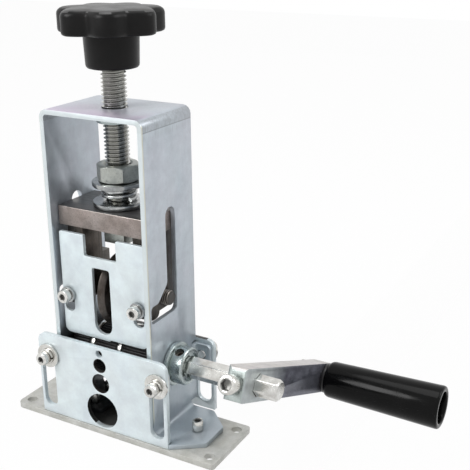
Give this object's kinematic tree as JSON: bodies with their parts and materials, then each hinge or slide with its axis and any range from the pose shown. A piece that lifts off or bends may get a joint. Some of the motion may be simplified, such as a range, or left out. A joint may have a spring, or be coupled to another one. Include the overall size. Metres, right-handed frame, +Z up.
{
  "type": "hand crank wire stripper",
  "caption": "hand-cranked wire stripper: folded steel frame, blade carriage under a star knob, feed rollers on a crank shaft, cable guide plates and a spinning handle",
  "frame": {"origin": "on the axis of the pressure screw, in the plane of the base plate's underside", "axes": "+X along the crank shaft towards the handle, +Y from the front guide plate to the rear one, +Z up along the pressure screw"},
  "size_m": [0.2105, 0.1299, 0.2313],
  "materials": {
    "zinc_plate": "bright zinc plate, satin",
    "bright_zinc": "bright zinc plate",
    "base_zinc": "zinc plate, duller and speckled",
    "raw_steel": "raw rolled steel, speckled",
    "dark_steel": "dark raw steel",
    "black_steel": "black oxide, knurled",
    "knob_plastic": "satin black moulded plastic",
    "grip_plastic": "glossy black plastic"
  },
  "bodies": {
    "stand": {"base_plate": "base_zinc", "frame": "zinc_plate", "top_weld_nut": "zinc_plate", "front_left_clamp_screw": "bright_zinc", "front_left_broad_washer": "bright_zinc", "front_left_spring_washer": "bright_zinc", "front_right_clamp_screw": "bright_zinc", "front_right_broad_washer": "bright_zinc", "front_right_spring_washer": "bright_zinc", "rear_left_clamp_screw": "bright_zinc", "rear_left_broad_washer": "bright_zinc", "rear_left_spring_washer": "bright_zinc", "rear_right_clamp_screw": "bright_zinc", "rear_right_broad_washer": "bright_zinc", "rear_right_spring_washer": "bright_zinc", "right_foot_screw": "bright_zinc", "left_foot_screw_front": "bright_zinc", "left_foot_screw_rear": "bright_zinc", "left_bush": "zinc_plate", "right_bush": "zinc_plate"},
    "crank": {"crank_shaft": "zinc_plate", "shaft_collar": "zinc_plate", "collar_set_screw": "dark_steel", "left_side_roller": "black_steel", "left_spacer_ring": "bright_zinc", "feed_wheel": "black_steel", "right_spacer_ring": "bright_zinc", "right_side_roller": "black_steel", "shaft_clip": "dark_steel", "crank_arm": "zinc_plate", "arm_clamp_screw": "bright_zinc", "handle_spindle": "bright_zinc", "grip_washer": "black_steel", "spindle_nut": "bright_zinc"},
    "grip": {"handle_grip": "grip_plastic"},
    "carriage": {"carriage_block": "raw_steel", "left_cheek": "dark_steel", "right_cheek": "dark_steel", "blade_axle": "raw_steel", "cover_plate": "zinc_plate", "left_cover_screw": "bright_zinc", "right_cover_screw": "bright_zinc", "left_cover_washer": "bright_zinc", "right_cover_washer": "bright_zinc", "lower_washer": "bright_zinc", "pressure_spring": "bright_zinc"},
    "pressure_screw": {"threaded_rod": "bright_zinc", "star_knob": "knob_plastic", "rod_nut": "bright_zinc", "rod_retainer": "raw_steel", "upper_washer": "bright_zinc"},
    "blade": {"blade_wheel": "dark_steel", "blade_hub": "dark_steel", "blade_spacer": "dark_steel"},
    "front_guide": {"front_guide_plate": "zinc_plate"},
    "rear_guide": {"rear_guide_plate": "zinc_plate"}
  },
  "joints": [
    {"name": "crank_turn", "type": "hinge", "parent": "stand", "child": "crank", "pos_m": [0, 0, 0.0388], "axis": [1, 0, 0], "continuous": true},
    {"name": "grip_spin", "type": "hinge", "parent": "crank", "child": "grip", "pos_m": [0.1167, 0.08601, 0.00087], "axis": [1, 0, 0], "continuous": true},
    {"name": "carriage_lift", "type": "slide", "parent": "stand", "child": "carriage", "axis": [0, 0, 1], "range_m": [-0.001, 0.0205]},
    {"name": "screw_turn", "type": "hinge", "parent": "carriage", "child": "pressure_screw", "pos_m": [0, 0, 0.15], "axis": [0, 0, 1], "range_deg": [-184.3, 3777.2]},
    {"name": "blade_spin", "type": "hinge", "parent": "carriage", "child": "blade", "pos_m": [-0.001, 0, 0.0755], "axis": [1, 0, 0], "continuous": true},
    {"name": "front_guide_lift", "type": "slide", "parent": "stand", "child": "front_guide", "axis": [0, 0, 1], "range_m": [0, 0.0185]},
    {"name": "rear_guide_lift", "type": "slide", "parent": "stand", "child": "rear_guide", "axis": [0, 0, 1], "range_m": [0, 0.025]}
  ],
  "couplings": [
    {"joint": "screw_turn", "follows": "carriage_lift", "rad_per_m": 3215.8}
  ]
}
